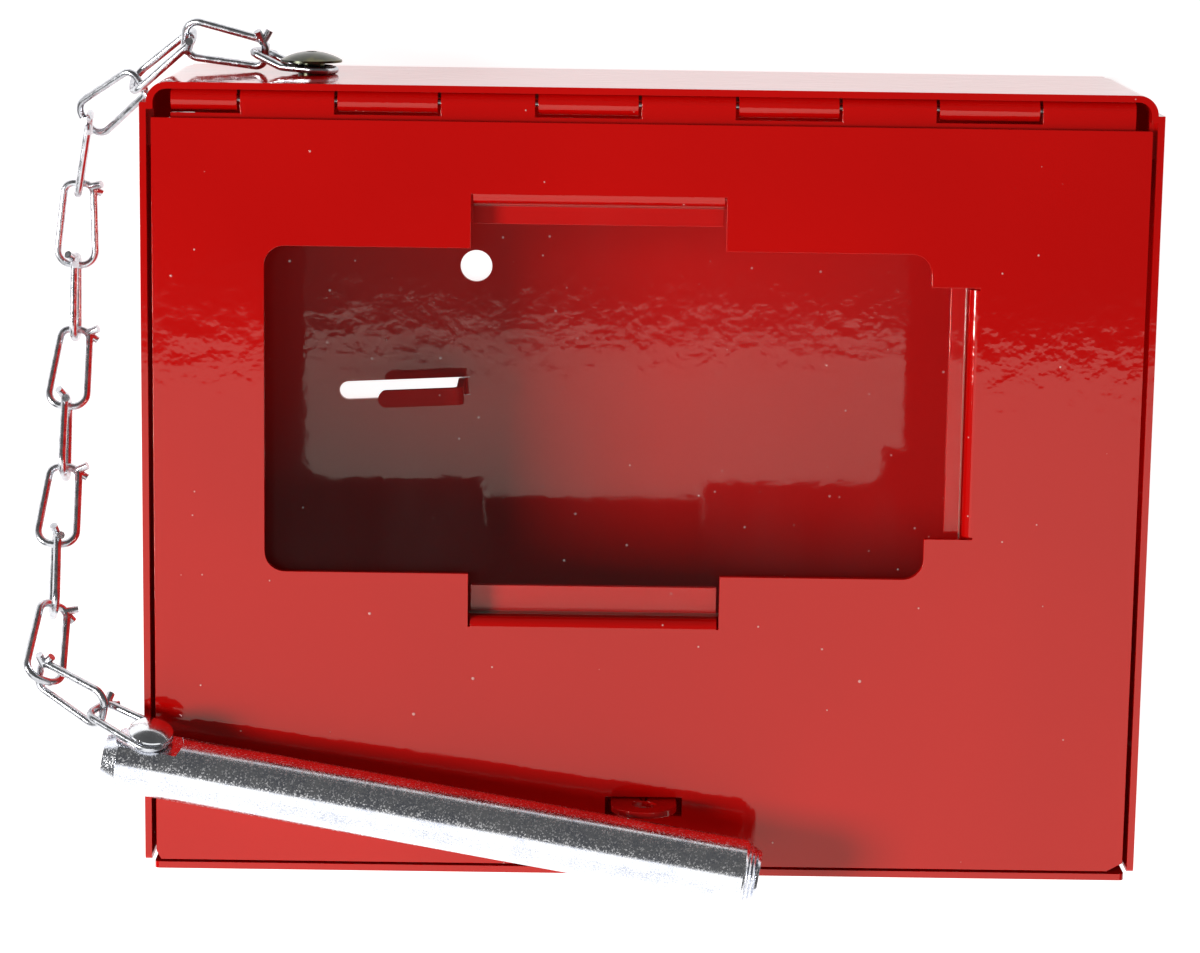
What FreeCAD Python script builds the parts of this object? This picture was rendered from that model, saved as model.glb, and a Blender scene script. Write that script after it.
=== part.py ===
"""Break-glass key box: a folded sheet-steel casing with a hinged, windowed door,
and a striker bar that hangs from the casing on a knotted wire chain.

Frame: millimetres, origin at the centre of the casing's outer back face.
+Z points out of the door, +Y towards the hinge edge, +X along the hinge.
The box lies on its back, with the chain beside it and the bar across the door.
"""
import FreeCAD, Part
import math
import os

V = FreeCAD.Vector

# ---- shared by all parts ----
OVERSHOOT = 1.0         # how far a cut runs past the sheet it goes through
TOLERANCE = 1e-3        # for picking edges by length and place
NO_LENGTH = 1e-6        # a straight run shorter than this is left out
PARALLEL = 0.99         # cosine above which a direction counts as upright
DOME_STEPS = 6          # straight steps in the outline of a domed head

# ---- casing ----
CASE_W = 150.0          # along X
CASE_H = 119.0          # along Y
CASE_D = 40.0           # along Z
SHEET = 1.0             # thickness of every red sheet part
BEND_MID = 1.5          # mid-sheet radius of the folds at the back panel
CORNER_MID = 2.5        # mid-sheet radius where the hinge wall turns its corners
CORNER_GAP = 0.4        # between the bottom wall's ends and the side walls
SIDE_WALL_GAP = 0.3     # between the side walls' ends and the bottom wall
WALL_END_R = 0.8        # rounding of the side walls' front ends at the bottom wall
FOLD_RISE = 3.0         # straight length of the hinge wall below its turned corners
RELIEF = 2.6            # square relief cut in the back panel's corners
RETURN_TAB = 9.0        # how far the hinge wall's ends run down inside the side walls
RETURN_TAB_TOP = 38.0   # front edge of those ends where the door lies over them
TAB_CLEAR = 1.2         # how far that lower edge runs on past the door panel

# ---- door ----
DOOR_GAP_SIDE = 0.7
DOOR_GAP_BOTTOM = 0.4
DOOR_TOP = 54.3         # Y of the panel's hinge edge
DOOR_Z = CASE_D         # the panel's outer face is flush with the casing's rim
CHAMFER_LEFT = (0.7, 1.3)
CHAMFER_RIGHT = (2.4, 1.3)
WINDOW_X = (-56.8, 41.6)
WINDOW_Y = (-13.2, 35.7)
WINDOW_R = 3.0
NOTCH_X = (-26.4, 11.2)     # span of the upper and lower lips
NOTCH_Y = (-7.0, 30.8)      # span of the right-hand lip
LIP_BEND = 1.0              # mid-sheet radius of the lips' joggle
LIP_ROOT = 1.0              # how far a lip's strip overlaps the panel it grows from
LIP_DROP = 3.3              # how far the lips are set back from the panel
LIP_TOP = (42.7, 39.0)      # Y of the drop and of the lip's raw edge
LIP_BOTTOM = (-20.3, -15.6)
LIP_RIGHT = (47.8, 44.8)    # X of the drop and of the lip's raw edge
LIP_SIDE_GAP = 0.3

# ---- glass ----
GLASS_T = 2.0
GLASS_X = (-62.0, 47.0)
GLASS_Y = (-19.5, 41.9)
GLASS_CLEAR = 0.15          # between the glass and the panel's back

# ---- hinge ----
PIN_R = 0.45
PIN_SHORT = 0.1             # the pin ends this far inside each end of the leaves
KNUCKLE_R_IN = 0.5
LEAF_T_CASING = 1.1
LEAF_T_DOOR = SHEET
HINGE_Z = DOOR_Z - SHEET - LEAF_T_DOOR - KNUCKLE_R_IN
HINGE_Y = CASE_H / 2 - SHEET - LEAF_T_CASING - KNUCKLE_R_IN
HINGE_X = (-70.5, 70.9)
KNUCKLE_W = 14.7
KNUCKLE_PITCH = 29.4
KNUCKLE_FIRST_X = -75.5     # the first knuckle starts beyond the leaf's end and is cut off there
KNUCKLE_COUNT = 5
KNUCKLE_GAP = 0.45
CURL_DEG = 265.0
NOTCH_CLEAR = 0.3           # between a knuckle and the notch in the other leaf
LEAF_DOOR_FOOT = 45.6       # Y of the door leaf's welded edge
LEAF_CASING_FOOT = 26.0     # Z of the casing leaf's welded edge

# ---- key hook, wall hole ----
HOOK_X = (-48.3, -27.5)     # ends of the lanced slot
HOOK_Y = 9.0                # slot's centre line at its root
HOOK_TILT = -3.0            # degrees, the slot drops towards its free end
HOOK_SLOT_W = 2.9
HOOK_W = 2.7
HOOK_HEIGHT = 11.0          # mid-sheet height of the finger
HOOK_TIP_X = -41.6
HOOK_BEND = 1.2
HOOK_ROOT = 2.0             # how far the finger's strip overlaps the back panel
HOOK_SET = 0.1              # the finger's bend starts this far beyond the slot's end
HOOK_TIP_FLAT = 0.05        # the rounded tip keeps a flat of twice this
WALL_HOLE = (-26.7, 28.2)
WALL_HOLE_R = 2.5

# ---- sealing tongue ----
TONGUE_X = 0.4
TONGUE_W = 9.9
TONGUE_Y = -48.1            # mid-sheet
TONGUE_TIP = 47.8
TONGUE_EYE_R = 1.8
TONGUE_EYE_Z = 43.3
TONGUE_FOOT = 9.0
TONGUE_BEND = 1.0           # mid-sheet radius of the fold at the foot
TONGUE_TIP_FLAT = 0.02      # the rounded tip keeps a flat of twice this
SLOT_W = 11.6
SLOT_Y = (-50.3, -47.4)

# ---- chain screw ----
SCREW_X = -51.3
SCREW_Z = 20.0
SCREW_R = 2.0
SCREW_LENGTH = 9.9          # below the head
SCREW_CHAMFER = 0.3
SCREW_HOLE_CLEAR = 0.1      # radial, in the hinge wall
HEAD_R = 4.65
HEAD_UNDER = 1.8            # underside of the head above the wall
HEAD_RIM = 0.35
HEAD_DOME = 1.25
RECESS_R = 0.8
RECESS_DEPTH = 0.6
RECESS_RIM = 0.02           # how far the recess's rim lies below the dome's top
WASHER_R = 4.5
WASHER_T = 0.8
WASHER_CLEAR = 0.15         # radial
NUT_ACROSS = 7.0
NUT_T = 3.2

# ---- chain ----
WIRE_R = 0.6
LINK_PITCH = 11.65          # inner length of a link
CONTACT_GAP = 0.14          # free play between two touching wires
FAR_HALF = 3.1              # half width at the round far end, on the wire's centre
NEAR_HALF = 2.2             # half width at the tied near end
FAR_BEND = 2.25
NEAR_BEND = 1.55
STUB = 1.5                  # the tied wire ends stand out this far
STUB_INSET = 0.3            # where they leave the corner, as a share of its bend radius
STUB_LEANS = [(-0.35, 1.0, 0.45), (0.5, 1.0, -0.2)]
FIRST_LINK_BEHIND = 3.3     # the clamped link's round end lies this far behind the screw
FIRST_LINK_LIFT = 0.8       # wire centre above the wall at the screw
FIRST_LINK_KINK = 19.0      # the first link is bent up where it leaves the screw head
FIRST_LINK_KINK_AT = 5.0
KINK_BEND = 3.0
# One line per link: azimuth from +X, elevation, roll (0 lies flat, 90 stands on edge)
CHAIN_LAY = [
    (177, -21, 90),
    (170, -11, 160),
    (-140, -13, 70),
    (-142, -28, 0),
    (-101, -15, 84),
    (-93, 0, 0),
    (-90, 8, 90),
    (-94, 29, 0),
    (-88, 31, 90),
    (-93, 33, 0),
    (-87, 35, 75),
    (-94, 41, -30),
    (-23, 29, 20),
    (-19, 28, 0),
]

# ---- striker bar ----
BAR_R = 4.8
BAR_L = 99.0
BAR_AZIMUTH = -8.8
BAR_ELEVATION = 3.6
BAR_RIVET_AT = 6.5          # from the bar's near end to the rivet
BAR_CHAMFER = (2.3, 1.4)    # length, radial depth
BAR_RINGS = 3               # turned grooves in the far chamfer
BAR_RING_DEPTH = 0.25
BAR_RING_HALF = 0.12        # half a groove's width
SPOT_R = 5.0
SPOT_DEPTH = 0.7
RIVET_SHANK_R = 1.7
RIVET_DEPTH = 7.0
RIVET_HEAD_R = 3.3
RIVET_HEAD_H = 1.5
RIVET_RIM = 0.3
RIVET_SEAT = 1.8            # room under the head for the link


def box(x, y, z):
    """A box between two limits on each axis."""
    size = [abs(b - a) for a, b in (x, y, z)]
    return Part.makeBox(*size, V(min(x), min(y), min(z)))


def ribbon(path, thick, radius, to_space, depth):
    """A folded sheet: a mid-sheet path in 2-D with rounded corners, thickened both ways
    and extruded by the vector depth. to_space turns a 2-D point into a 3-D one."""
    sides = {+1: [], -1: []}

    def offset(point, normal, side):
        return (point[0] + side * thick / 2 * normal[0], point[1] + side * thick / 2 * normal[1])

    directions = []
    for a, b in zip(path, path[1:]):
        length = math.hypot(b[0] - a[0], b[1] - a[1])
        directions.append(((b[0] - a[0]) / length, (b[1] - a[1]) / length))
    for side in sides:
        start = path[0]
        for i, d in enumerate(directions):
            normal = (-d[1], d[0])
            if i == len(directions) - 1:
                sides[side].append(("line", offset(start, normal, side), offset(path[-1], normal, side)))
                break
            nxt = directions[i + 1]
            turn = math.atan2(d[0] * nxt[1] - d[1] * nxt[0], d[0] * nxt[0] + d[1] * nxt[1])
            back = radius * math.tan(abs(turn) / 2)
            corner = path[i + 1]
            end = (corner[0] - back * d[0], corner[1] - back * d[1])
            sides[side].append(("line", offset(start, normal, side), offset(end, normal, side)))
            way = math.copysign(1.0, turn)
            centre = (end[0] + way * radius * normal[0], end[1] + way * radius * normal[1])
            after = (corner[0] + back * nxt[0], corner[1] + back * nxt[1])
            next_normal = (-nxt[1], nxt[0])
            arc_start = offset(end, normal, side)
            arc_end = offset(after, next_normal, side)
            reach = math.hypot(arc_start[0] - centre[0], arc_start[1] - centre[1])
            first = math.atan2(arc_start[1] - centre[1], arc_start[0] - centre[0])
            middle = (centre[0] + reach * math.cos(first + turn / 2),
                      centre[1] + reach * math.sin(first + turn / 2))
            sides[side].append(("arc", arc_start, middle, arc_end))
            start = after
    edges = []
    for piece in sides[+1] + sides[-1]:
        points = [to_space(*p) for p in piece[1:]]
        if piece[0] == "arc":
            edges.append(Part.Arc(*points).toShape())
        elif points[0].distanceToPoint(points[1]) > NO_LENGTH:
            edges.append(Part.LineSegment(*points).toShape())
    for which in (0, -1):
        ends = [to_space(*sides[s][which][1 if which == 0 else -1]) for s in (+1, -1)]
        edges.append(Part.LineSegment(*ends).toShape())
    wire = Part.Wire(Part.__sortEdges__(edges))
    return Part.Face(wire).extrude(depth)


def fused(first, *others):
    """One solid from touching or overlapping ones."""
    shape = first.multiFuse(list(others)) if others else first
    return shape.removeSplitter()


def rounded_plate(x, y, z, radius):
    """A plate with its four upright corners rounded."""
    plate = box(x, y, z)
    upright = [e for e in plate.Edges if abs(e.tangentAt(e.FirstParameter).z) > PARALLEL]
    return plate.makeFillet(radius, upright)


def turned(profile, origin, axis):
    """A solid of revolution: (radius, height) points about the axis through origin."""
    points = [V(r, 0, h) for r, h in profile]
    face = Part.Face(Part.makePolygon(points + points[:1]))
    solid = face.revolve(V(0, 0, 0), V(0, 0, 1), 360)
    solid.Placement = FreeCAD.Placement(origin, FreeCAD.Rotation(V(0, 0, 1), axis))
    return solid


# ---------------------------------------------------------------- casing
def knuckle_spans():
    """X limits of the casing's knuckles, cut off at the leaf's end."""
    spans = []
    for k in range(KNUCKLE_COUNT):
        start = KNUCKLE_FIRST_X + k * KNUCKLE_PITCH
        spans.append((max(start, HINGE_X[0]), start + KNUCKLE_W))
    return spans


def make_casing():
    half_w, half_h, mid = CASE_W / 2, CASE_H / 2, SHEET / 2
    flat = BEND_MID + SHEET
    back = box((-half_w + flat, half_w - flat), (-half_h + flat, half_h - flat), (0, SHEET))
    pieces = [back]
    side_low, side_high = -half_h + SHEET + SIDE_WALL_GAP, half_h - CORNER_MID - SHEET / 2
    for side in (-1, 1):
        path = [(side * (half_w - 2 * flat), mid), (side * (half_w - mid), mid),
                (side * (half_w - mid), CASE_D)]
        wall = ribbon(path, SHEET, BEND_MID, lambda a, b: V(a, side_low, b),
                      V(0, side_high - side_low, 0))
        pieces.append(wall)
    bottom_half = half_w - SHEET - CORNER_GAP
    path = [(-half_h + 2 * flat, mid), (-half_h + mid, mid), (-half_h + mid, CASE_D)]
    pieces.append(ribbon(path, SHEET, BEND_MID, lambda a, b: V(-bottom_half, a, b),
                         V(2 * bottom_half, 0, 0)))
    # hinge wall: a fold up from the back, then a length that turns both corners
    fold_top = flat + FOLD_RISE
    straight = half_w - SHEET - CORNER_MID - mid
    path = [(half_h - 2 * flat, mid), (half_h - mid, mid), (half_h - mid, fold_top)]
    pieces.append(ribbon(path, SHEET, BEND_MID, lambda a, b: V(-straight, a, b),
                         V(2 * straight, 0, 0)))
    tab_x, wall_y = half_w - SHEET - mid, half_h - mid
    path = [(-tab_x, wall_y - RETURN_TAB), (-tab_x, wall_y), (tab_x, wall_y), (tab_x, wall_y - RETURN_TAB)]
    hinge_wall = ribbon(path, SHEET, CORNER_MID, lambda a, b: V(a, b, fold_top),
                        V(0, 0, CASE_D - fold_top))
    over_tab = box((-half_w, half_w), (0, DOOR_TOP + TAB_CLEAR), (RETURN_TAB_TOP, CASE_D + OVERSHOOT))
    pieces.append(hinge_wall.cut(over_tab))
    casing = fused(pieces[0], *pieces[1:])
    cuts = [box((sx * (half_w - RELIEF), sx * (half_w + OVERSHOOT)),
                (sy * (half_h - RELIEF), sy * (half_h + OVERSHOOT)),
                (-OVERSHOOT, SHEET + BEND_MID))
            for sx in (-1, 1) for sy in (-1, 1)]
    cuts.append(Part.makeCylinder(WALL_HOLE_R, 3 * SHEET, V(*WALL_HOLE, -SHEET)))
    cuts.append(Part.makeCylinder(SCREW_R + SCREW_HOLE_CLEAR, 4 * SHEET,
                                  V(SCREW_X, half_h - 3 * SHEET, SCREW_Z), V(0, 1, 0)))
    casing = casing.cut(Part.makeCompound(cuts))
    # rounded front ends of the side walls and the bottom wall
    soft = [e for e in casing.Edges if is_front_end(e, side_low)]
    casing = casing.makeFillet(WALL_END_R, soft)
    return cut_and_bend_hook(casing)


def is_front_end(edge, side_low):
    """The short edges at the front outer ends of the side walls and of the bottom wall."""
    if edge.Length > SHEET + TOLERANCE:
        return False
    centre = edge.CenterOfMass
    if abs(centre.z - CASE_D) > TOLERANCE:
        return False
    return centre.y < side_low + TOLERANCE


def cut_and_bend_hook(casing):
    """The key hook: a slot lanced in the back panel, and its finger bent forward."""
    root = V(HOOK_X[1], HOOK_Y, 0)
    turn = FreeCAD.Rotation(V(0, 0, 1), -HOOK_TILT)
    length = HOOK_X[1] - HOOK_X[0]
    half = HOOK_SLOT_W / 2
    slot = fused(box((-length + half, 0), (-half, half), (-SHEET, 2 * SHEET)),
                 Part.makeCylinder(half, 3 * SHEET, V(-length + half, 0, -SHEET)))
    slot.Placement = FreeCAD.Placement(root, turn)
    mid = SHEET / 2
    tip = HOOK_TIP_X - HOOK_X[1]
    rise = -HOOK_BEND - HOOK_SET
    path = [(HOOK_ROOT, mid), (rise, mid), (rise, HOOK_HEIGHT), (tip, HOOK_HEIGHT)]
    finger = ribbon(path, SHEET, HOOK_BEND, lambda a, b: V(a, -HOOK_W / 2, b), V(0, HOOK_W, 0))
    tip_edges = [e for e in finger.Edges
                 if e.Length < SHEET + TOLERANCE and e.CenterOfMass.x < tip + TOLERANCE]
    finger = finger.makeFillet(HOOK_W / 2 - HOOK_TIP_FLAT, tip_edges)
    finger.Placement = FreeCAD.Placement(root, turn)
    return fused(casing.cut(slot), finger)


def make_seal_bracket():
    """A strip that stands on the back panel and ends in the eyed tongue."""
    mid, start = SHEET / 2, SHEET
    path = [(TONGUE_Y + TONGUE_FOOT, start + mid), (TONGUE_Y, start + mid), (TONGUE_Y, TONGUE_TIP)]
    strip = ribbon(path, SHEET, TONGUE_BEND, lambda a, b: V(TONGUE_X - TONGUE_W / 2, a, b),
                   V(TONGUE_W, 0, 0))
    ends = [e for e in strip.Edges
            if e.Length < SHEET + TOLERANCE and e.CenterOfMass.z > TONGUE_TIP - TOLERANCE]
    strip = strip.makeFillet(TONGUE_W / 2 - TONGUE_TIP_FLAT, ends)
    eye = Part.makeCylinder(TONGUE_EYE_R, 4 * SHEET,
                            V(TONGUE_X, TONGUE_Y - 2 * SHEET, TONGUE_EYE_Z), V(0, 1, 0))
    return strip.cut(eye)


# ---------------------------------------------------------------- door
def make_door_panel():
    half_w = CASE_W / 2 - SHEET - DOOR_GAP_SIDE
    low = -CASE_H / 2 + SHEET + DOOR_GAP_BOTTOM
    z = (DOOR_Z - SHEET, DOOR_Z)
    cl, cr = CHAMFER_LEFT, CHAMFER_RIGHT
    outline = [V(-half_w, DOOR_TOP, z[0]), V(-half_w, low + cl[1], z[0]), V(-half_w + cl[0], low, z[0]),
               V(half_w - cr[0], low, z[0]), V(half_w, low + cr[1], z[0]), V(half_w, DOOR_TOP, z[0])]
    panel = Part.Face(Part.makePolygon(outline + outline[:1])).extrude(V(0, 0, SHEET))
    through = (z[0] - OVERSHOOT, z[1] + OVERSHOOT)
    top_edge, bottom_edge = LIP_TOP[0] + LIP_BEND, LIP_BOTTOM[0] - LIP_BEND
    right_edge = LIP_RIGHT[0] + LIP_BEND
    window = fused(rounded_plate(WINDOW_X, WINDOW_Y, through, WINDOW_R),
                   box(NOTCH_X, (bottom_edge, top_edge), through),
                   box((0, right_edge), NOTCH_Y, through))
    slot = box((TONGUE_X - SLOT_W / 2, TONGUE_X + SLOT_W / 2), SLOT_Y, through)
    panel = panel.cut(window).cut(slot)
    mid = DOOR_Z - SHEET / 2
    deep = mid - LIP_DROP
    lip_x = (NOTCH_X[0] + LIP_SIDE_GAP, NOTCH_X[1] - LIP_SIDE_GAP)
    lip_y = (NOTCH_Y[0] + LIP_SIDE_GAP, NOTCH_Y[1] - LIP_SIDE_GAP)
    lips = []
    for drop, raw in (LIP_TOP, LIP_BOTTOM):
        start = drop + math.copysign(LIP_BEND + LIP_ROOT, drop - raw)
        path = [(start, mid), (drop, mid), (drop, deep), (raw, deep)]
        lips.append(ribbon(path, SHEET, LIP_BEND, lambda a, b: V(lip_x[0], a, b),
                           V(lip_x[1] - lip_x[0], 0, 0)))
    drop, raw = LIP_RIGHT
    path = [(drop + LIP_BEND + LIP_ROOT, mid), (drop, mid), (drop, deep), (raw, deep)]
    lips.append(ribbon(path, SHEET, LIP_BEND, lambda a, b: V(a, lip_y[0], b),
                       V(0, lip_y[1] - lip_y[0], 0)))
    return fused(panel, *lips)


def make_glass_pane():
    top = DOOR_Z - SHEET - GLASS_CLEAR
    return box(GLASS_X, GLASS_Y, (top - GLASS_T, top))


# ---------------------------------------------------------------- hinge
def curl(inner, outer, start_deg, sweep_deg, x0, x1):
    """Part of a rolled knuckle: a ring sector about the hinge axis between two X limits."""
    height = x1 - x0
    sector = Part.makeCylinder(outer, height, V(x0, HINGE_Y, HINGE_Z), V(1, 0, 0), sweep_deg)
    core = Part.makeCylinder(inner, height, V(x0, HINGE_Y, HINGE_Z), V(1, 0, 0))
    ring = sector.cut(core)
    zero = sector_start(outer)
    ring.rotate(V(x0, HINGE_Y, HINGE_Z), V(1, 0, 0), start_deg - zero)
    return ring


def sector_start(radius):
    """The angle from +Y, about +X, at which a partial cylinder about +X begins."""
    sweep = 10.0
    centre = Part.makeCylinder(radius, radius, V(0, 0, 0), V(1, 0, 0), sweep).CenterOfMass
    return math.degrees(math.atan2(centre.z, centre.y)) - sweep / 2


def make_hinge_leaf_casing():
    outer = KNUCKLE_R_IN + LEAF_T_CASING
    wall = HINGE_Y + outer
    plate = box(HINGE_X, (wall - LEAF_T_CASING, wall), (LEAF_CASING_FOOT, HINGE_Z - outer - NOTCH_CLEAR))
    pieces = [plate]
    for x0, x1 in knuckle_spans():
        pieces.append(box((x0, x1), (wall - LEAF_T_CASING, wall), (LEAF_CASING_FOOT, HINGE_Z)))
        pieces.append(curl(KNUCKLE_R_IN, outer, 0.0, CURL_DEG, x0, x1))
    return fused(pieces[0], *pieces[1:])


def make_hinge_leaf_door():
    outer = KNUCKLE_R_IN + LEAF_T_DOOR
    z = (HINGE_Z + KNUCKLE_R_IN, HINGE_Z + outer)
    edge = HINGE_Y - KNUCKLE_R_IN - LEAF_T_CASING - NOTCH_CLEAR
    pieces = [box(HINGE_X, (LEAF_DOOR_FOOT, edge), z)]
    spans = knuckle_spans()
    starts = [span[1] + KNUCKLE_GAP for span in spans]
    ends = [span[0] - KNUCKLE_GAP for span in spans[1:]] + [HINGE_X[1]]
    for x0, x1 in zip(starts, ends):
        pieces.append(box((x0, x1), (LEAF_DOOR_FOOT, HINGE_Y), z))
        pieces.append(curl(KNUCKLE_R_IN, outer, 90.0 - CURL_DEG, CURL_DEG, x0, x1))
    return fused(pieces[0], *pieces[1:])


def make_hinge_pin():
    length = HINGE_X[1] - HINGE_X[0] - 2 * PIN_SHORT
    return Part.makeCylinder(PIN_R, length, V(HINGE_X[0] + PIN_SHORT, HINGE_Y, HINGE_Z), V(1, 0, 0))


# ---------------------------------------------------------------- chain screw
def domed(radius, rim, height, under):
    """Profile of a domed head above the height under: a rim, then an arc to the top."""
    ball = (radius ** 2 + height ** 2) / (2 * height)
    span = math.asin(radius / ball)
    middle = under + rim + height - ball
    turns = [span * (1 - k / DOME_STEPS) for k in range(DOME_STEPS)]
    return [(ball * math.sin(turn), middle + ball * math.cos(turn)) for turn in turns]


def make_chain_screw():
    wall = CASE_H / 2
    top = HEAD_UNDER + HEAD_RIM + HEAD_DOME
    tip = HEAD_UNDER - SCREW_LENGTH
    profile = [(0, tip), (SCREW_R - SCREW_CHAMFER, tip), (SCREW_R, tip + SCREW_CHAMFER),
               (SCREW_R, HEAD_UNDER), (HEAD_R, HEAD_UNDER)]
    profile += domed(HEAD_R, HEAD_RIM, HEAD_DOME, HEAD_UNDER)
    profile += [(RECESS_R, top - RECESS_RIM), (RECESS_R, top - RECESS_DEPTH), (0, top - RECESS_DEPTH)]
    return turned(profile, V(SCREW_X, wall, SCREW_Z), V(0, 1, 0))


def make_chain_screw_washer():
    inside = CASE_H / 2 - SHEET
    ring = Part.makeCylinder(WASHER_R, WASHER_T, V(SCREW_X, inside - WASHER_T, SCREW_Z), V(0, 1, 0))
    bore = Part.makeCylinder(SCREW_R + WASHER_CLEAR, WASHER_T,
                             V(SCREW_X, inside - WASHER_T, SCREW_Z), V(0, 1, 0))
    return ring.cut(bore)


def make_chain_screw_nut():
    top = CASE_H / 2 - SHEET - WASHER_T
    corner = NUT_ACROSS / math.sqrt(3)
    points = [V(SCREW_X + corner * math.cos(math.radians(60 * k)), top - NUT_T,
                SCREW_Z + corner * math.sin(math.radians(60 * k))) for k in range(7)]
    nut = Part.Face(Part.makePolygon(points)).extrude(V(0, NUT_T, 0))
    return nut.cut(Part.makeCylinder(SCREW_R, NUT_T, V(SCREW_X, top - NUT_T, SCREW_Z), V(0, 1, 0)))


# ---------------------------------------------------------------- chain
def heading(azimuth, elevation):
    a, e = math.radians(azimuth), math.radians(elevation)
    return V(math.cos(e) * math.cos(a), math.cos(e) * math.sin(a), math.sin(e))


def cross_wire(azimuth, elevation, roll):
    """Direction of a link's end wires: across the link, in its own plane."""
    along = heading(azimuth, elevation)
    level = V(-math.sin(math.radians(azimuth)), math.cos(math.radians(azimuth)), 0)
    upward = along.cross(level)
    r = math.radians(roll)
    return level * math.cos(r) + upward * math.sin(r)


def rounded_loop(corners, radii):
    """A closed flat wire through the corners, each rounded by its own radius."""
    count = len(corners)
    stops = []
    for i, corner in enumerate(corners):
        back = corners[i - 1] - corner
        onward = corners[(i + 1) % count] - corner
        half = back.getAngle(onward) / 2
        back.normalize()
        onward.normalize()
        run = radii[i] / math.tan(half)
        inward = back + onward
        inward.normalize()
        middle = corner + inward * (radii[i] / math.sin(half) - radii[i])
        stops.append((corner + back * run, middle, corner + onward * run))
    edges = []
    for i, (first, middle, last) in enumerate(stops):
        edges.append(Part.Arc(first, middle, last).toShape())
        edges.append(Part.LineSegment(last, stops[(i + 1) % count][0]).toShape())
    return Part.Wire(edges)


def near_half(x, y):
    """A point of the first link's near part, turned up about the kink."""
    kink = math.radians(FIRST_LINK_KINK)
    back = FIRST_LINK_KINK_AT - x
    return V(FIRST_LINK_KINK_AT - back * math.cos(kink), y, back * math.sin(kink))


def make_link(kinked=False):
    """A link lying along +X with its near contact at the origin and its far one at LINK_PITCH.
    The near end is tied: two wire ends stand out at one corner. A kinked link has its near
    part turned up out of the plane."""
    x_near, x_far = -WIRE_R, LINK_PITCH + WIRE_R
    lift = near_half if kinked else (lambda x, y: V(x, y, 0))
    corners = [V(x_far, FAR_HALF, 0), lift(x_near, NEAR_HALF),
               lift(x_near, -NEAR_HALF), V(x_far, -FAR_HALF, 0)]
    radii = [FAR_BEND, NEAR_BEND, NEAR_BEND, FAR_BEND]
    if kinked:
        share = (FIRST_LINK_KINK_AT - x_near) / (x_far - x_near)
        half = NEAR_HALF + (FAR_HALF - NEAR_HALF) * share
        corners.insert(1, V(FIRST_LINK_KINK_AT, half, 0))
        corners.insert(4, V(FIRST_LINK_KINK_AT, -half, 0))
        radii = [FAR_BEND, KINK_BEND, NEAR_BEND, NEAR_BEND, KINK_BEND, FAR_BEND]
    path = rounded_loop(corners, radii)
    start = path.Edges[1].valueAt(path.Edges[1].FirstParameter)
    ring = Part.Wire(Part.makeCircle(WIRE_R, start, corners[1] - corners[0]))
    pipe = Part.Wire(path.Edges[1:] + path.Edges[:1]).makePipeShell([ring], True, not kinked)
    inset = NEAR_BEND * STUB_INSET
    corner = lift(x_near + inset, NEAR_HALF - inset)
    stubs = []
    for lean in STUB_LEANS:
        way = V(*lean)
        way.normalize()
        stubs.append(Part.makeCylinder(WIRE_R, STUB + WIRE_R, corner, way))
    return pipe.fuse(stubs[0]).fuse(stubs[1])


def lay_chain():
    """Place every link. The near end is the one nearer the screw, except on the first link,
    whose round far end is on the screw. Each entry: along and across directions, the wire
    centres at both ends, and the placement."""
    span = LINK_PITCH + 2 * WIRE_R
    links = []
    for number, (azimuth, elevation, roll) in enumerate(CHAIN_LAY, 1):
        along = heading(azimuth, elevation)
        across = cross_wire(azimuth, elevation, roll)
        if number == 1:
            far = V(SCREW_X, CASE_H / 2 + FIRST_LINK_LIFT, SCREW_Z) - along * FIRST_LINK_BEHIND
            near = far + along * span
            links.append({"along": along * -1, "across": across * -1, "near": near, "far": far})
            raised = near_half(-WIRE_R, 0)
            flat = near - along * WIRE_R
            leading = flat - along * raised.x + along.cross(across) * raised.z
            along = leading - (flat - along * FIRST_LINK_KINK_AT)
            along.normalize()
        else:
            if number == len(CHAIN_LAY):
                rivet = along.cross(heading(BAR_AZIMUTH, BAR_ELEVATION))
                rivet.normalize()
                across = rivet.cross(along)
            bend = previous.getAngle(along)
            reach = (2 * WIRE_R + CONTACT_GAP) / (2 * math.cos(bend / 2))
            near = leading - previous * reach - along * reach
            leading = near + along * span
            links.append({"along": along, "across": across, "near": near, "far": leading})
        previous = along
    for link in links:
        a, c = link["along"], link["across"]
        n = a.cross(c)
        o = link["near"] + a * WIRE_R
        link["normal"] = n
        link["placement"] = FreeCAD.Placement(FreeCAD.Matrix(
            a.x, c.x, n.x, o.x, a.y, c.y, n.y, o.y, a.z, c.z, n.z, o.z, 0, 0, 0, 1))
    return links


# ---------------------------------------------------------------- striker bar
def bar_frame(links):
    """The bar's axis direction, the rivet's direction, and the point of the axis under the rivet."""
    last = links[-1]
    along = heading(BAR_AZIMUTH, BAR_ELEVATION)
    up = last["along"].cross(along)
    up.normalize()
    rivet = last["far"] - last["along"] * (RIVET_SHANK_R + WIRE_R + CONTACT_GAP)
    seat = BAR_R - SPOT_DEPTH + RIVET_SEAT / 2
    return along, up, rivet - up * seat


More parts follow.
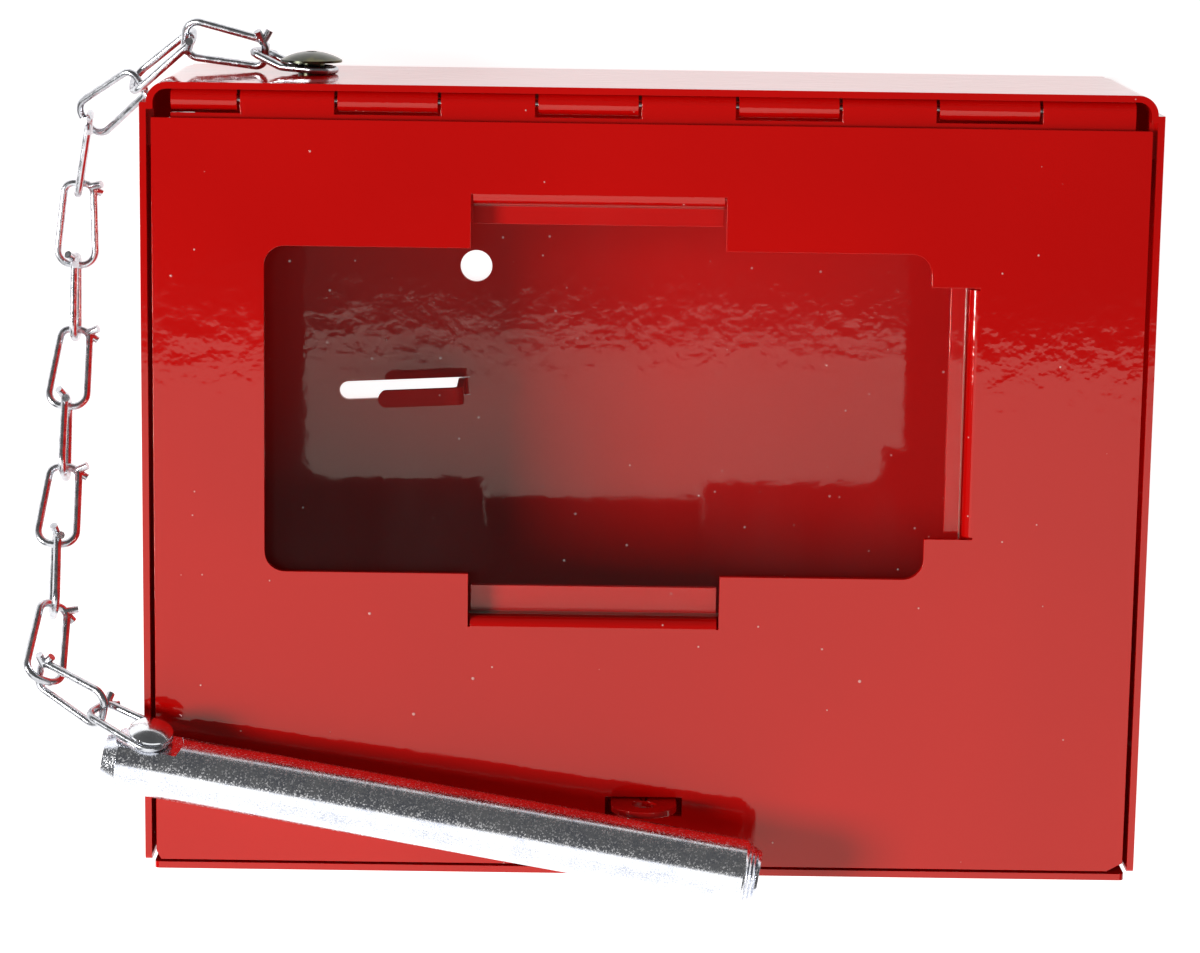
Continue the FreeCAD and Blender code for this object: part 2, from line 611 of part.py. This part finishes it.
def make_striker_bar(along, up, under_rivet):
    length, depth = BAR_CHAMFER
    near = -BAR_RIVET_AT
    far = near + BAR_L
    profile = [(0, near), (BAR_R - depth, near), (BAR_R, near + length), (BAR_R, far - length)]
    for k in range(1, BAR_RINGS + 1):
        share = k / (BAR_RINGS + 1)
        z, r = far - length * (1 - share), BAR_R - depth * share
        profile += [(r, z - BAR_RING_HALF), (r - BAR_RING_DEPTH, z), (r, z + BAR_RING_HALF)]
    profile += [(BAR_R - depth, far), (0, far)]
    bar = turned(profile, under_rivet, along)
    flat = under_rivet + up * (BAR_R - SPOT_DEPTH)
    pocket = Part.makeCylinder(SPOT_R, SPOT_DEPTH + OVERSHOOT, flat, up)
    hole = Part.makeCylinder(RIVET_SHANK_R, RIVET_DEPTH, flat - up * RIVET_DEPTH, up)
    return bar.cut(pocket).cut(hole)


def make_striker_rivet(along, up, under_rivet):
    flat = under_rivet + up * (BAR_R - SPOT_DEPTH)
    profile = [(0, -RIVET_DEPTH), (RIVET_SHANK_R, -RIVET_DEPTH), (RIVET_SHANK_R, RIVET_SEAT),
               (RIVET_HEAD_R, RIVET_SEAT)]
    profile += domed(RIVET_HEAD_R, RIVET_RIM, RIVET_HEAD_H - RIVET_RIM, RIVET_SEAT)
    profile += [(0, RIVET_SEAT + RIVET_HEAD_H)]
    return turned(profile, flat, up)


LINKS = lay_chain()
BAR_ALONG, BAR_UP, BAR_POINT = bar_frame(LINKS)


def main():
    os.makedirs("parts", exist_ok=True)
    nodes = {
        "casing": make_casing(),
        "seal_bracket": make_seal_bracket(),
        "hinge_leaf_casing": make_hinge_leaf_casing(),
        "hinge_pin": make_hinge_pin(),
        "hinge_leaf_door": make_hinge_leaf_door(),
        "door_panel": make_door_panel(),
        "glass_pane": make_glass_pane(),
        "chain_screw": make_chain_screw(),
        "chain_screw_washer": make_chain_screw_washer(),
        "chain_screw_nut": make_chain_screw_nut(),
        "striker_bar": make_striker_bar(BAR_ALONG, BAR_UP, BAR_POINT),
        "striker_rivet": make_striker_rivet(BAR_ALONG, BAR_UP, BAR_POINT),
    }
    link, kinked_link = make_link(), make_link(True)
    for number, laid in enumerate(LINKS, 1):
        shape = kinked_link.copy() if number == 1 else link.copy()
        shape.Placement = laid["placement"]
        nodes[f"chain_link_{number:02d}"] = shape
    for name, shape in nodes.items():
        if len(shape.Solids) != 1 or not shape.isValid():
            print("check", name, len(shape.Solids), shape.isValid())
        shape.exportStep(f"parts/{name}.step")
        print(f"{name}: {shape.Volume:.1f} mm3")


main()
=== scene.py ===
"""Looks of a break-glass key box: glossy red sheet steel, a zinc striker bar and a knotted
wire chain, on a white studio table. All lengths are in metres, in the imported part's frame."""
import math

import bpy
from mathutils import Matrix, Vector

MM = 0.001
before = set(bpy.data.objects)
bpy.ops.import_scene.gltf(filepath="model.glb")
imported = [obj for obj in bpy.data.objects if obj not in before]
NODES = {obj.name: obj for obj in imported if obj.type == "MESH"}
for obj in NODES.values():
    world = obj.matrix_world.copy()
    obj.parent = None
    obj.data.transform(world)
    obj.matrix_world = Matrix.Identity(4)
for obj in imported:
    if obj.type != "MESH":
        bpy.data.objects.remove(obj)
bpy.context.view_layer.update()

# ---- edges and wire ----
WELD_GAP = 0.002 * MM
BEVEL_SEGMENTS = 2
BEVEL_ANGLE = math.radians(28.0)
RIM_ANGLE = math.radians(55.0)      # a wire's cut ends turn by more than this

# ---- key hook: the room that its finger takes up, and the twist that its shading shows ----
HOOK_LOW = (-43.0 * MM, 0.0, 9.6 * MM)
HOOK_HIGH = (-27.2 * MM, 20.0 * MM, 12.4 * MM)
HOOK_SLOPE = math.tan(math.radians(5.0))

# ---- surface noise ----
MOST = (0.3, 0.7)                   # the range in which most values of a noise lie
SPECK_CORE = 0.6                    # share of a speck's radius at which it is solid

# ---- colours ----
RED_DEEP = (0.50, 0.0012, 0.0010)
RED_LIGHT = (0.56, 0.0020, 0.0014)
RED_DUST = (0.85, 0.5, 0.46)
DUST_COVER = 0.75
WARM_SHEEN = (1.0, 0.92, 0.8, 1.0)
PANE_FACE = (0.86, 0.93, 0.9)
PANE_EDGE = (0.10, 0.36, 0.27)
ZINC_BLUE = (0.56, 0.59, 0.70)
ZINC_GREY = (0.84, 0.86, 0.91)
ZINC_BRIGHT = (0.98, 0.98, 1.0)

# ---- studio ----
FLOOR_SIZE = 6.0
FLOOR_DROP = 0.2 * MM               # the floor lies this far under the casing's back
FLOOR_GREY = (0.4, 0.4, 0.4, 1.0)
FLOOR_ROUGHNESS = 0.9
FLOOR_GLOW = 0.92
WHITE = (1.0, 1.0, 1.0, 1.0)
WORLD_GLOW = 0.10
# One line per light: name, centre, the point it faces, width, height, watts
SOFTBOXES = [
    ("overhead", (0.0, -0.72, 1.3), (0.0, -0.72, 0.0), 1.8, 1.1, 8.2),
    ("front_card", (0.0, -1.5, 0.62), (0.0, 0.0, 0.05), 2.2, 1.35, 10.5),
    ("key_left", (-1.15, 0.0, 0.97), (0.0, 0.0, 0.02), 0.40, 0.40, 19.0),
]

# ---- camera: its place, and the directions of its right, its top and its back ----
CAMERA_PLACE = (-0.0096, 0.0999, 0.5671)
CAMERA_AXES = [
    (0.9999, 0.0145, 0.0024),
    (-0.0138, 0.983, -0.1829),
    (-0.0051, 0.1829, 0.9831),
]
CAMERA_LENS = 108.1                 # millimetres, as is the sensor's width
CAMERA_SENSOR = 36.0
CAMERA_NEAR = 0.05


# ---------------------------------------------------------------- shader helpers
class Shader:
    """A material with a Principled shader, and short calls that add nodes and join them.
    Each keyword sets one of the shader's sockets, with _ for a space in the socket's name."""

    def __init__(self, name, **values):
        self.material = bpy.data.materials.new(name)
        self.material.use_nodes = True
        self.tree = self.material.node_tree
        self.principled = self.tree.nodes["Principled BSDF"]
        for socket, value in values.items():
            self.principled.inputs[socket.replace("_", " ")].default_value = value
        place = self.add("TexCoord")
        self.coords = place.outputs["Object"]
        self.normal = place.outputs["Normal"]

    def add(self, kind):
        return self.tree.nodes.new("ShaderNode" + kind)

    def link(self, source, target):
        self.tree.links.new(source, target)

    def feed(self, socket, value):
        """Joins a node's output to the socket, or sets the socket to a number or a colour."""
        if isinstance(value, tuple):
            socket.default_value = (*value, 1.0)
        elif isinstance(value, (int, float)):
            socket.default_value = value
        else:
            self.link(value, socket)

    def out(self, value, socket):
        self.link(value, self.principled.inputs[socket])

    def noise(self, scale, detail=3.0, roughness=0.5, stretch=None):
        """Cloudy noise from 0 to 1, with scale features to a metre."""
        node = self.add("TexNoise")
        node.inputs["Scale"].default_value = scale
        node.inputs["Detail"].default_value = detail
        node.inputs["Roughness"].default_value = roughness
        self.link(self.stretched(stretch), node.inputs["Vector"])
        return node.outputs["Fac"]

    def stretched(self, stretch):
        if stretch is None:
            return self.coords
        node = self.add("Mapping")
        node.inputs["Scale"].default_value = stretch
        self.link(self.coords, node.inputs["Vector"])
        return node.outputs["Vector"]

    def voronoi(self, scale, output="Distance"):
        """Cells, scale of them to a metre: the distance from a cell's centre, or a colour each."""
        node = self.add("TexVoronoi")
        node.inputs["Scale"].default_value = scale
        self.link(self.coords, node.inputs["Vector"])
        return node.outputs[output]

    def split(self, vector):
        node = self.add("SeparateXYZ")
        self.link(vector, node.inputs[0])
        return [node.outputs[axis] for axis in "XYZ"]

    def ramp(self, value, stops):
        """A colour that changes with value. Each stop: (position, colour)."""
        node = self.add("ValToRGB")
        elements = node.color_ramp.elements
        while len(elements) < len(stops):
            elements.new(0.5)
        for element, (position, colour) in zip(elements, stops):
            element.position = position
            element.color = (*colour, 1.0)
        self.link(value, node.inputs["Fac"])
        return node.outputs["Color"]

    def spread(self, value, source, target):
        """Maps the range source onto the range target, and holds its ends beyond it."""
        node = self.add("MapRange")
        for socket, number in zip(("From Min", "From Max", "To Min", "To Max"), (*source, *target)):
            node.inputs[socket].default_value = number
        self.link(value, node.inputs["Value"])
        return node.outputs["Result"]

    def math(self, operation, a, b=0.0):
        node = self.add("Math")
        node.operation = operation
        for socket, value in zip(node.inputs, (a, b)):
            self.feed(socket, value)
        return node.outputs[0]

    def mix(self, factor, a, b):
        node = self.add("Mix")
        node.data_type = "RGBA"
        sockets = [s for s in node.inputs if s.enabled]
        for socket, value in zip(sockets, (factor, a, b)):
            self.feed(socket, value)
        return [o for o in node.outputs if o.enabled][0]

    def bump(self, *layers):
        """Each layer: (height, strength, distance in metres)."""
        normal = None
        for height, strength, distance in layers:
            node = self.add("Bump")
            node.inputs["Strength"].default_value = strength
            node.inputs["Distance"].default_value = distance
            self.link(height, node.inputs["Height"])
            if normal is not None:
                self.link(normal, node.inputs["Normal"])
            normal = node.outputs["Normal"]
        self.out(normal, "Normal")


def specks(shader, cells_per_metre, radius, share):
    """Small round specks: 1 inside a speck, 0 outside. share is the part of the cells that have one."""
    distance = shader.voronoi(cells_per_metre)
    chance = shader.voronoi(cells_per_metre, output="Color")
    picked = shader.math("GREATER_THAN", chance, 1.0 - share)
    inside = shader.spread(distance, (radius, radius * SPECK_CORE), (0.0, 1.0))
    return shader.math("MULTIPLY", picked, inside)


def hook_twist(shader):
    """A slope across the finger of the key hook, and no height elsewhere."""
    place = shader.split(shader.coords)
    height = shader.math("MULTIPLY", place[1], -HOOK_SLOPE)
    for value, low, high in zip(place, HOOK_LOW, HOOK_HIGH):
        for operation, limit in (("GREATER_THAN", low), ("LESS_THAN", high)):
            height = shader.math("MULTIPLY", height, shader.math(operation, value, limit))
    return height


# ---------------------------------------------------------------- materials
def red_paint(name, twisted_hook=False):
    """Glossy red powder coat, with orange peel and dust under it. twisted_hook adds the slight
    twist of the key hook that is bent out of the casing's back panel."""
    s = Shader(name, IOR=1.5, Specular_Tint=WARM_SHEEN)
    cloud = s.spread(s.noise(18.0, detail=2.0), MOST, (0.0, 1.0))
    dust = specks(s, cells_per_metre=300.0, radius=0.055, share=0.5)
    fluff = specks(s, cells_per_metre=120.0, radius=0.035, share=0.5)
    marks = s.math("MAXIMUM", dust, fluff)
    cover = s.math("MULTIPLY", marks, DUST_COVER)
    s.out(s.mix(cover, s.mix(cloud, RED_DEEP, RED_LIGHT), RED_DUST), "Base Color")
    s.out(s.spread(s.noise(45.0, detail=4.0), (0.35, 0.7), (0.035, 0.075)), "Roughness")
    ripple = s.noise(95.0, detail=1.0, roughness=0.3)
    peel = s.noise(430.0, detail=2.0, roughness=0.45)
    layers = [(ripple, 0.03, 0.6 * MM), (peel, 0.17, 0.14 * MM), (marks, 0.4, 0.2 * MM)]
    if twisted_hook:
        layers.append((hook_twist(s), 1.0, 1.0))
    s.bump(*layers)
    return s.material


def glass():
    """A thin clear pane: nearly all light goes straight through its faces, and its cut edges
    look green, because light runs along inside the pane."""
    s = Shader("clear_pane", IOR=1.5, Specular_IOR_Level=0.5)
    smear = s.noise(30.0, detail=4.0, roughness=0.6, stretch=(1.0, 0.35, 1.0))
    dust = s.math("MULTIPLY", specks(s, cells_per_metre=260.0, radius=0.06, share=0.5), 0.15)
    film = s.math("ADD", s.spread(smear, (0.5, 0.85), (0.003, 0.010)), dust)
    facing = s.math("ABSOLUTE", s.split(s.normal)[2])
    edge = s.spread(facing, (0.2, 0.9), (1.0, 0.0))
    s.out(s.mix(edge, PANE_FACE, PANE_EDGE), "Base Color")
    s.out(s.math("ADD", film, s.math("MULTIPLY", edge, 0.6)), "Alpha")
    s.out(s.spread(smear, (0.45, 0.8), (0.01, 0.06)), "Roughness")
    s.bump((s.noise(12.0, detail=1.0), 0.02, 0.3 * MM))
    return s.material


def zinc_bar():
    """Zinc plate over turned steel: small crystals, bright and dark, with fine scratches."""
    s = Shader("spangled_zinc", Metallic=1.0)
    grain = s.noise(4200.0, roughness=0.7)
    patch = s.noise(260.0, roughness=0.6)
    crystal = s.voronoi(5200.0, output="Color")
    fleck = s.math("GREATER_THAN", crystal, 0.74)
    scratch = s.noise(700.0, detail=4.0, roughness=0.7, stretch=(0.15, 1.0, 1.0))
    mixed = s.math("ADD", s.math("MULTIPLY", grain, 0.65), s.math("MULTIPLY", patch, 0.35))
    tone = s.ramp(mixed, [(0.38, ZINC_BLUE), (0.5, ZINC_GREY), (0.62, ZINC_BRIGHT)])
    s.out(s.mix(fleck, tone, ZINC_BRIGHT), "Base Color")
    dull = s.spread(grain, (0.35, 0.65), (0.10, 0.24))
    s.out(s.math("ADD", dull, s.math("MULTIPLY", fleck, 0.20)), "Roughness")
    s.bump((grain, 0.16, 0.04 * MM), (crystal, 0.16, 0.03 * MM), (scratch, 0.12, 0.03 * MM))
    return s.material


def metal(name, tone, stops, dull_scale, dull, relief, strength, depth):
    """A metal whose colour runs through the stops and whose roughness runs over the range dull.
    tone and relief are the keywords of the noises for the colour and for the surface."""
    s = Shader(name, Metallic=1.0)
    s.out(s.ramp(s.noise(**tone), stops), "Base Color")
    s.out(s.spread(s.noise(dull_scale), MOST, dull), "Roughness")
    s.bump((s.noise(**relief), strength, depth))
    return s.material


def zinc_wire():
    return metal(
        "bright_zinc_wire",
        tone={"scale": 600.0, "detail": 4.0, "roughness": 0.6},
        stops=[(0.3, (0.44, 0.45, 0.48)), (0.6, (0.68, 0.69, 0.72))],
        dull_scale=900.0, dull=(0.18, 0.34),
        relief={"scale": 1800.0, "roughness": 0.6}, strength=0.10, depth=0.03 * MM)


def rivet_zinc():
    """Zinc that the riveting tool has rubbed smooth."""
    return metal(
        "burnished_zinc_rivet",
        tone={"scale": 420.0, "roughness": 0.6},
        stops=[(0.3, (0.66, 0.67, 0.70)), (0.7, (0.88, 0.89, 0.91))],
        dull_scale=700.0, dull=(0.12, 0.22),
        relief={"scale": 900.0, "detail": 2.0}, strength=0.12, depth=0.05 * MM)


def chromated():
    """Dark zinc chromate, whose film goes from near black through olive and yellow to plum."""
    return metal(
        "olive_chromate",
        tone={"scale": 240.0, "detail": 4.0, "roughness": 0.6},
        stops=[(0.3, (0.022, 0.026, 0.024)), (0.5, (0.055, 0.058, 0.04)),
               (0.64, (0.12, 0.11, 0.05)), (0.8, (0.08, 0.05, 0.06))],
        dull_scale=500.0, dull=(0.14, 0.28),
        relief={"scale": 1300.0, "roughness": 0.6}, strength=0.2, depth=0.05 * MM)


def pin_steel():
    """Bare steel wire, with its marks drawn out along the hinge."""
    return metal(
        "drawn_pin_steel",
        tone={"scale": 500.0, "roughness": 0.6, "stretch": (0.2, 1.0, 1.0)},
        stops=[(0.3, (0.3, 0.28, 0.27)), (0.7, (0.52, 0.5, 0.49))],
        dull_scale=800.0, dull=(0.25, 0.4),
        relief={"scale": 1500.0}, strength=0.2, depth=0.04 * MM)


# ---------------------------------------------------------------- the part's pieces
def dress(obj, material):
    obj.data.materials.clear()
    obj.data.materials.append(material)


def smooth(obj):
    """Drops the mesh's stored normals, joins it at its edges and shades it smoothly."""
    if "custom_normal" in obj.data.attributes:
        obj.data.attributes.remove(obj.data.attributes["custom_normal"])
    for polygon in obj.data.polygons:
        polygon.use_smooth = True
    weld = obj.modifiers.new("weld", "WELD")
    weld.merge_threshold = WELD_GAP


def soften(obj, width):
    """Rounds the edges slightly, as paint does, and evens the shading of the flat faces."""
    smooth(obj)
    bevel = obj.modifiers.new("edge", "BEVEL")
    bevel.width = width
    bevel.segments = BEVEL_SEGMENTS
    bevel.limit_method = "ANGLE"
    bevel.angle_limit = BEVEL_ANGLE
    bevel.harden_normals = True
    bevel.use_clamp_overlap = True
    shading = obj.modifiers.new("shading", "WEIGHTED_NORMAL")
    shading.keep_sharp = True


def round_wire(obj):
    """Smooth shading round the wire, with crisp rims only at its cut ends."""
    smooth(obj)
    rims = obj.modifiers.new("rims", "EDGE_SPLIT")
    rims.split_angle = RIM_ANGLE


def finish_pieces():
    """Gives every node its material and its edges. Each entry: material, edge width in mm."""
    red = red_paint("red_powder_coat")
    red_casing = red_paint("red_powder_coat_casing", twisted_hook=True)
    olive = chromated()
    finish = {
        "casing": (red_casing, 0.26), "door_panel": (red, 0.30), "seal_bracket": (red, 0.14),
        "hinge_leaf_casing": (red, 0.12), "hinge_leaf_door": (red, 0.12),
        "hinge_pin": (pin_steel(), 0.05), "glass_pane": (glass(), 0.08),
        "chain_screw": (olive, 0.08), "chain_screw_washer": (olive, 0.06),
        "chain_screw_nut": (olive, 0.1), "striker_bar": (zinc_bar(), 0.1),
        "striker_rivet": (rivet_zinc(), 0.08),
    }
    for name, (material, width) in finish.items():
        dress(NODES[name], material)
        soften(NODES[name], width * MM)
    wire = zinc_wire()
    for name, obj in NODES.items():
        if name.startswith("chain_link"):
            dress(obj, wire)
            round_wire(obj)


# ---------------------------------------------------------------- studio
def studio_floor():
    """A white table that glows a little, so that it stays white around the soft shadows."""
    bpy.ops.mesh.primitive_plane_add(size=FLOOR_SIZE, location=(0, 0, -FLOOR_DROP))
    floor = bpy.context.object
    floor.name = "studio_floor"
    s = Shader("studio_white", Base_Color=FLOOR_GREY, Roughness=FLOOR_ROUGHNESS,
               Emission_Color=WHITE, Emission_Strength=FLOOR_GLOW)
    dress(floor, s.material)


def softbox(name, centre, target, width, height, watts):
    light = bpy.data.lights.new(name, "AREA")
    light.shape = "RECTANGLE"
    light.size = width
    light.size_y = height
    light.energy = watts
    obj = bpy.data.objects.new(name, light)
    bpy.context.scene.collection.objects.link(obj)
    obj.location = centre
    obj.rotation_euler = (Vector(target) - Vector(centre)).to_track_quat("-Z", "Y").to_euler()


def studio_world():
    scene = bpy.context.scene
    scene.world = bpy.data.worlds.new("studio")
    scene.world.use_nodes = True
    background = scene.world.node_tree.nodes["Background"]
    background.inputs["Color"].default_value = WHITE
    background.inputs["Strength"].default_value = WORLD_GLOW
    scene.view_settings.view_transform = "Standard"
    scene.view_settings.look = "None"


def studio_camera():
    data = bpy.data.cameras.new("camera")
    data.lens = CAMERA_LENS
    data.sensor_width = CAMERA_SENSOR
    data.sensor_fit = "HORIZONTAL"
    data.clip_start = CAMERA_NEAR
    obj = bpy.data.objects.new("camera", data)
    bpy.context.scene.collection.objects.link(obj)
    turn = Matrix([Vector(axis) for axis in CAMERA_AXES]).transposed().to_4x4()
    obj.matrix_world = Matrix.Translation(CAMERA_PLACE) @ turn
    bpy.context.scene.camera = obj


finish_pieces()
studio_floor()
for box in SOFTBOXES:
    softbox(*box)
studio_world()
studio_camera()

bpy.context.view_layer.update()
